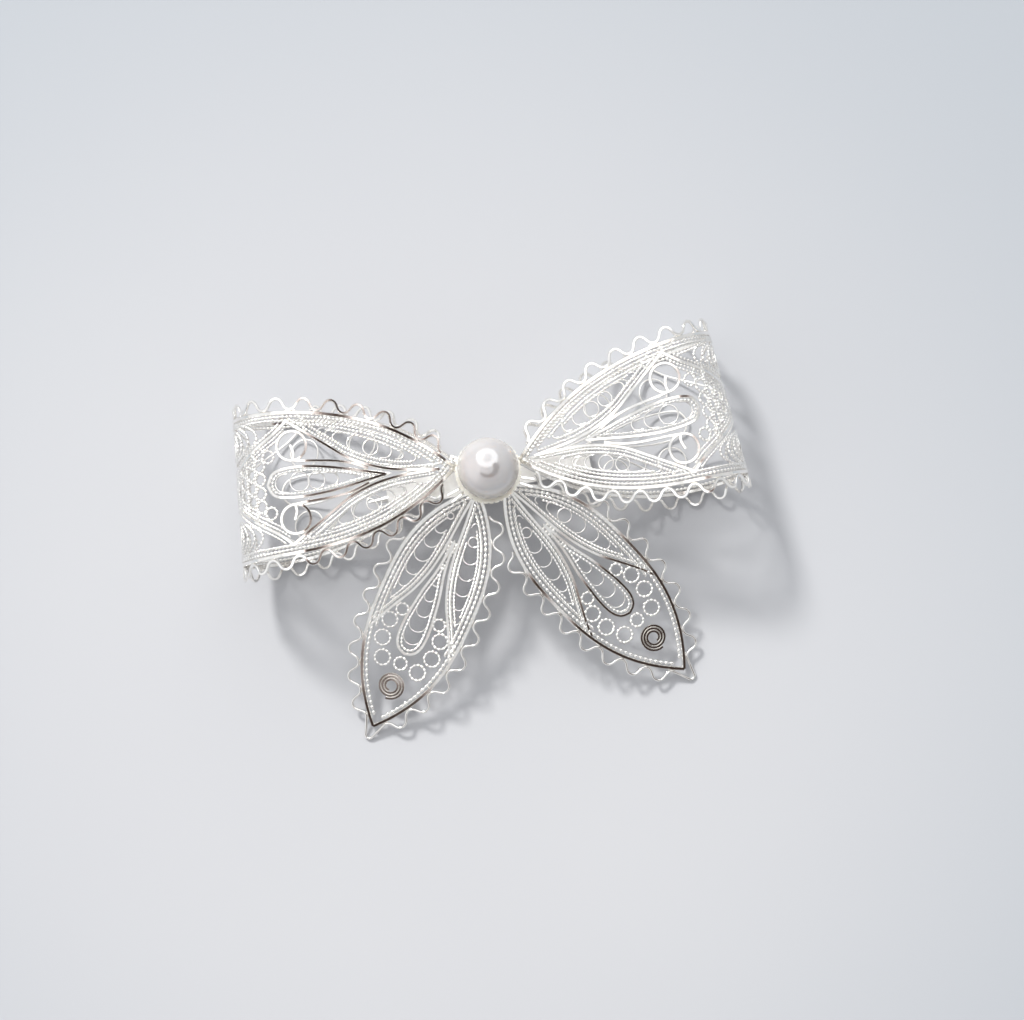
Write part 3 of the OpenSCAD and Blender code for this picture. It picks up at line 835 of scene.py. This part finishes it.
class Number:
    """A number that the shader works out. Its operators add Math nodes."""

    def __init__(self, tree, socket):
        self.tree = tree
        self.socket = socket

    def join(self, operation, a, b):
        """Adds the node of an operation."""
        node = self.tree.nodes.new("ShaderNodeMath")
        node.operation = operation
        for slot, value in zip(node.inputs, (a, b)):
            if isinstance(value, Number):
                self.tree.links.new(value.socket, slot)
            else:
                slot.default_value = value
        return Number(self.tree, node.outputs[0])

    def __add__(self, other):
        return self.join("ADD", self, other)

    def __radd__(self, other):
        return self.join("ADD", other, self)

    def __sub__(self, other):
        return self.join("SUBTRACT", self, other)

    def __rsub__(self, other):
        return self.join("SUBTRACT", other, self)

    def __mul__(self, other):
        return self.join("MULTIPLY", self, other)

    def __rmul__(self, other):
        return self.join("MULTIPLY", other, self)


class Finish:
    """A material made of nodes."""

    def __init__(self, name, tree=None):
        if tree is None:
            self.material = bpy.data.materials.new(name)
            self.material.use_nodes = True
            tree = self.material.node_tree
        self.tree = tree
        self.tree.nodes.clear()

    def node(self, kind, settings=None, **sockets):
        """Adds a node. A socket goes by its name, with _ for a space, or by _ and its number."""
        node = self.tree.nodes.new("ShaderNode" + kind)
        for name, value in (settings or {}).items():
            if name == "stops":
                ramp = node.color_ramp
                while len(ramp.elements) < len(value):
                    ramp.elements.new(0.5)
                for stop, (place, colour) in zip(ramp.elements, value):
                    stop.position = place
                    stop.color = (*colour, 1)
            else:
                setattr(node, name, value)
        for name, value in sockets.items():
            key = int(name[1:]) if name[0] == "_" and name[1:].isdigit() else name.replace("_", " ")
            socket = node.inputs[key]
            if isinstance(value, Number):
                self.tree.links.new(value.socket, socket)
            elif isinstance(value, bpy.types.NodeSocket):
                self.tree.links.new(value, socket)
            else:
                socket.default_value = value
        return node

    def noise(self, scale, detail=3.0):
        """Clouds in the piece's own space."""
        place = self.node("TexCoord").outputs["Object"]
        node = self.node("TexNoise", Vector=place, Scale=scale, Detail=detail, Roughness=0.5)
        return Number(self.tree, node.outputs["Fac"])

    def surface(self, **sockets):
        """Ends the material with its shader."""
        shader = self.node("BsdfPrincipled", **sockets)
        self.node("OutputMaterial", Surface=shader.outputs[0])
        return self.material


def silver(name, roughness, bump, light=(0.98, 0.965, 0.94), deep=(0.9, 0.88, 0.85)):
    """Silver with fine drawing marks and a faint warm film in places."""
    f = Finish(name)
    film = f.noise(scale=900, detail=4)
    marks = f.noise(scale=9000, detail=2)
    colour = f.node("ValToRGB", {"stops": ((0.35, deep), (0.62, light))}, Fac=film).outputs[0]
    height = f.node("Bump", Strength=bump, Distance=MARK_H, Height=marks)
    return f.surface(Base_Color=colour, Metallic=1.0, Roughness=roughness - FILM_LESS + film * FILM_MORE,
                     Normal=height.outputs[0])


def nacre(name):
    """White pearl with a cool top, a cream lower half that is painted warm light reflected up from below, and
    a faint rose cast that drifts over it.
    """
    f = Finish(name)
    cloud = f.noise(scale=160)
    rose = f.node("ValToRGB", {"stops": ((0.35, NACRE_TOP), (0.7, NACRE_ROSE))}, Fac=cloud).outputs[0]
    # Painted reflection: the lower half turns cream by height, for warm light thrown up from below
    place = f.node("SeparateXYZ", Vector=f.node("TexCoord").outputs["Object"]).outputs["Z"]
    painted_bounce_share = f.node("MapRange", {"interpolation_type": "SMOOTHSTEP"}, Value=place,
                 _1=(PEARL_Z + NACRE_FROM * PEARL_R) * MM, _2=(PEARL_Z + NACRE_TO * PEARL_R) * MM).outputs[0]
    colour = f.node("Mix", {"data_type": "RGBA"}, _0=painted_bounce_share, _6=rose, _7=(*NACRE_CREAM_PAINTED_BOUNCE, 1)).outputs[2]
    skin = f.noise(scale=1500, detail=2)
    height = f.node("Bump", Strength=0.05, Distance=MARK_H, Height=skin)
    return f.surface(Base_Color=colour, Roughness=0.13 + cloud * 0.06, Metallic=0.4, Normal=height.outputs[0],
                     Coat_Weight=1.0, Coat_Roughness=0.05, Coat_IOR=1.9, Subsurface_Weight=0.8,
                     Subsurface_Radius=(1.0, 0.9, 0.8), Subsurface_Scale=NACRE_GLOW_DEPTH)


def paper(name):
    """Pale surface that the brooch lies on, with painted shade that makes it a little darker and bluer away
    from it.
    """
    f = Finish(name)
    drift = f.noise(scale=14)
    grain = f.noise(scale=900)
    place = f.node("TexCoord").outputs["Object"]
    # Painted shade: the colour darkens and turns bluer with distance from the lit middle
    away = f.node("VectorMath", {"operation": "DISTANCE"}, _0=place, _1=PAPER_LIT_MIDDLE)
    painted_shade_share = f.node("MapRange", {"interpolation_type": "SMOOTHSTEP"}, _0=away.outputs["Value"],
                  _1=PAPER_PAINTED_SHADE_FALL[0], _2=PAPER_PAINTED_SHADE_FALL[1])
    near = f.node("ValToRGB", {"stops": ((0.3, PAPER_NEAR), (0.7, PAPER_LIGHT))}, Fac=drift).outputs[0]
    colour = f.node("Mix", {"data_type": "RGBA"}, _0=painted_shade_share.outputs[0], _6=near, _7=(*PAPER_FAR_PAINTED_SHADE, 1)).outputs[2]
    height = f.node("Bump", Strength=0.06, Distance=0.1 * MM, Height=grain)
    return f.surface(Base_Color=colour, Roughness=0.75, Normal=height.outputs[0])


bright = silver("bright_silver", roughness=0.08, bump=0.06)
sparkling = silver("beaded_silver", roughness=0.13, bump=0.1)
soft = silver("satin_silver", roughness=0.5, bump=0.3, light=(0.95, 0.94, 0.91), deep=(0.88, 0.86, 0.83))
brushed = silver("pin_silver", roughness=0.3, bump=0.5)
creamy = silver("cup_silver", roughness=0.3, bump=0.1, light=(0.84, 0.81, 0.74), deep=(0.76, 0.72, 0.64))
pearl_skin = nacre("pearl_nacre")
table_paper = paper("pale_paper")

# The four panels
panels = (
    loop_wires("left_loop_filigree", LEFT_FRONT, LEFT_BACK, LEFT_RISE, LEFT_LIFT, LEFT_SKEWS,
               mirrored=True, full_rings=(3,), bows=LEFT_LOOP_BOWS),
    loop_wires("right_loop_filigree", RIGHT_FRONT, RIGHT_BACK, RIGHT_RISE, RIGHT_LIFT, RIGHT_SKEWS,
               mirrored=False, full_rings=(3, 4), bows=RIGHT_LOOP_BOWS),
    tail_wires("left_tail_filigree", LEFT_TAIL, LEFT_SPREAD, mirrored=True, inner_start=4.6,
               outer_start=9.9, full_rings={1: (0,), -1: (1,)}),
    tail_wires("right_tail_filigree", RIGHT_TAIL, RIGHT_SPREAD, mirrored=False, inner_start=8.0,
               outer_start=9.9, full_rings={1: (2,), -1: (1,)}),
)
for work in panels:
    panel = work.piece(bright, sparkling, soft)
    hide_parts(work.name.removesuffix("_filigree"))
bpy.data.curves.remove(section.data)


# Faces round a turned body, and the angle between the points of the pearl's profile
SPIN_STEPS = 96
PROFILE_STEP = 0.05


def spun(name, profile, material):
    """A closed body turned round the post's axis from a profile of (radius, height)."""
    bm = bmesh.new()
    verts = [bm.verts.new(((KNOT.x + r) * MM, KNOT.y * MM, z * MM)) for r, z in profile]
    edges = [bm.edges.new((a, b)) for a, b in zip(verts, verts[1:])]
    bmesh.ops.spin(bm, geom=verts + edges, cent=(KNOT.x * MM, KNOT.y * MM, 0), axis=(0, 0, 1),
                   angle=2 * math.pi, steps=SPIN_STEPS, use_merge=True)
    bmesh.ops.remove_doubles(bm, verts=bm.verts, dist=1e-7)
    bmesh.ops.recalc_face_normals(bm, faces=bm.faces)
    return finished(name, bm, material)


hole_r = PEG_R + PEARL_GAP
hole_top = CUP_Z + CUP_FLOOR + PEG_DEPTH + 2 * PEARL_GAP
mouth = math.acos(hole_r / PEARL_R)
pearl_profile = [(0, hole_top), (hole_r, hole_top)]
pearl_profile += [(PEARL_R * math.cos(a), PEARL_Z + PEARL_R * math.sin(a))
                  for a in steps(-mouth, math.pi / 2, PROFILE_STEP)]
pearl_profile[-1] = (0, PEARL_Z + PEARL_R)
pearl = spun("round_pearl", pearl_profile, pearl_skin)
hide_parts("pearl")

for node in ("pearl_cup", "brooch_pin"):
    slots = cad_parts[node].data.materials
    slots.clear()
    slots.append(creamy if node == "pearl_cup" else brushed)

# Camera: the picture's width and height and the pearl's place in it, all in pixels, the size of a pixel, how
# far the bow is turned and the camera tilted, and the camera's distance and the width of its sensor
PHOTO_W, PHOTO_H = 1024, 1020
PEARL_PIXEL = (488, 468)
PIXEL = 0.1
BOW_TURN = math.radians(11)
TILT = math.radians(5.5)
DISTANCE = 420.0
SENSOR = 36.0

# The surface
floor_bm = bmesh.new()
bmesh.ops.create_grid(floor_bm, x_segments=2, y_segments=2, size=2.0)
table = finished("pale_table", floor_bm, table_paper)

up_flat = Vector((math.sin(BOW_TURN), math.cos(BOW_TURN), 0))
right = Vector((math.cos(BOW_TURN), -math.sin(BOW_TURN), 0))
back = math.cos(TILT) * Vector((0, 0, 1)) - math.sin(TILT) * up_flat
up = back.cross(right)
pearl_at = Vector((KNOT.x, KNOT.y, PEARL_Z))
off_right = (PHOTO_W / 2 - PEARL_PIXEL[0]) * PIXEL
off_up = (PEARL_PIXEL[1] - PHOTO_H / 2) * PIXEL
eye = pearl_at + DISTANCE * back + off_right * right + off_up * up

camera_data = bpy.data.cameras.new("camera")
camera_data.sensor_width = SENSOR
camera_data.lens = SENSOR * DISTANCE / (PHOTO_W * PIXEL)
camera_data.clip_start = 0.01
camera = bpy.data.objects.new("camera", camera_data)
camera.matrix_world = Matrix.Translation(eye * MM) @ Matrix((right, up, back)).transposed().to_4x4()
bpy.context.scene.collection.objects.link(camera)
bpy.context.scene.camera = camera


def seen_at(turn, lean):
    """Direction by degrees clockwise from the photo's top and degrees down from straight above."""
    turn, lean = math.radians(turn), math.radians(lean)
    flat = math.cos(turn) * up_flat + math.sin(turn) * right
    return math.sin(lean) * flat + math.cos(lean) * Vector((0, 0, 1))


# Height that a lamp is aimed at, over the knot's place
AIM_Z = 8


def lamp(name, turn, lean, distance, size, power, colour):
    """Round soft light in a direction from the knot."""
    data = bpy.data.lights.new(name, "AREA")
    data.shape = "DISK"
    data.size = size * MM
    data.energy = power
    data.color = colour
    d = seen_at(turn, lean)
    obj = bpy.data.objects.new(name, data)
    aim = Vector((KNOT.x, KNOT.y, AIM_Z))
    facing = d.to_track_quat("Z", "Y").to_matrix().to_4x4()
    obj.matrix_world = Matrix.Translation((aim + distance * d) * MM) @ facing
    bpy.context.scene.collection.objects.link(obj)


lamp("key", turn=-33, lean=52.7, distance=1500, size=260, power=21, colour=(1.0, 0.985, 0.96))

world = bpy.data.worlds.new("studio")
bpy.context.scene.world = world
world.use_nodes = True
sky = Finish("studio", world.node_tree)
toward = sky.node("TexCoord").outputs["Generated"]


def patch(turn, lean, far, near):
    """1 within near degrees of a direction, falling to 0 at far degrees from it."""
    cosine = sky.node("VectorMath", {"operation": "DOT_PRODUCT"}, _0=toward, _1=tuple(seen_at(turn, lean)))
    share = sky.node("MapRange", {"interpolation_type": "SMOOTHSTEP"}, _0=cosine.outputs["Value"],
                     _1=math.cos(math.radians(far)), _2=math.cos(math.radians(near)), _3=0.0, _4=1.0)
    return Number(sky.tree, share.outputs[0])


# Brightness of a pale room, with a lit wall on the left, a round dish lamp with a grey middle, and a dark
# reflector: an arc overhead on the lower right and a patch on the right
ROOM, OVERHEAD, WALL, DISH_MIDDLE, HORIZON, REFLECTOR = 0.56, 0.18, 0.3, 0.62, 0.14, 0.05
ROOM_COLOUR = (0.97, 0.985, 1.0, 1.0)
REFLECTOR_COLOUR = (1.0, 0.72, 0.62, 1.0)

overhead = patch(turn=0, lean=0, far=75, near=20)
wall = patch(turn=-105, lean=62, far=50, near=15)
dish = patch(turn=-6, lean=35, far=40, near=36)
dish_middle = patch(turn=-6, lean=33, far=21, near=13)
horizon = 1 - patch(turn=0, lean=0, far=72, near=48)
arc_disc = patch(turn=0, lean=0, far=47, near=39)
arc_hole = patch(turn=235, lean=5, far=29, near=23)
arc_side = patch(turn=152, lean=60, far=66, near=54)
right_patch = patch(turn=86, lean=29, far=14, near=9)

dark = 1 - (1 - arc_disc * (1 - arc_hole) * arc_side) * (1 - right_patch)
glow = ROOM + OVERHEAD * overhead + WALL * wall + dish * (1 - DISH_MIDDLE * dish_middle) + HORIZON * horizon
sky_colour = sky.node("Mix", {"data_type": "RGBA"}, _0=dark, _6=ROOM_COLOUR, _7=REFLECTOR_COLOUR).outputs[2]
shade = sky.node("Background", Color=sky_colour, Strength=glow * (1 - dark) + REFLECTOR * dark)
sky.node("OutputWorld", Surface=shade.outputs[0])
bpy.context.scene.view_settings.view_transform = "Standard"
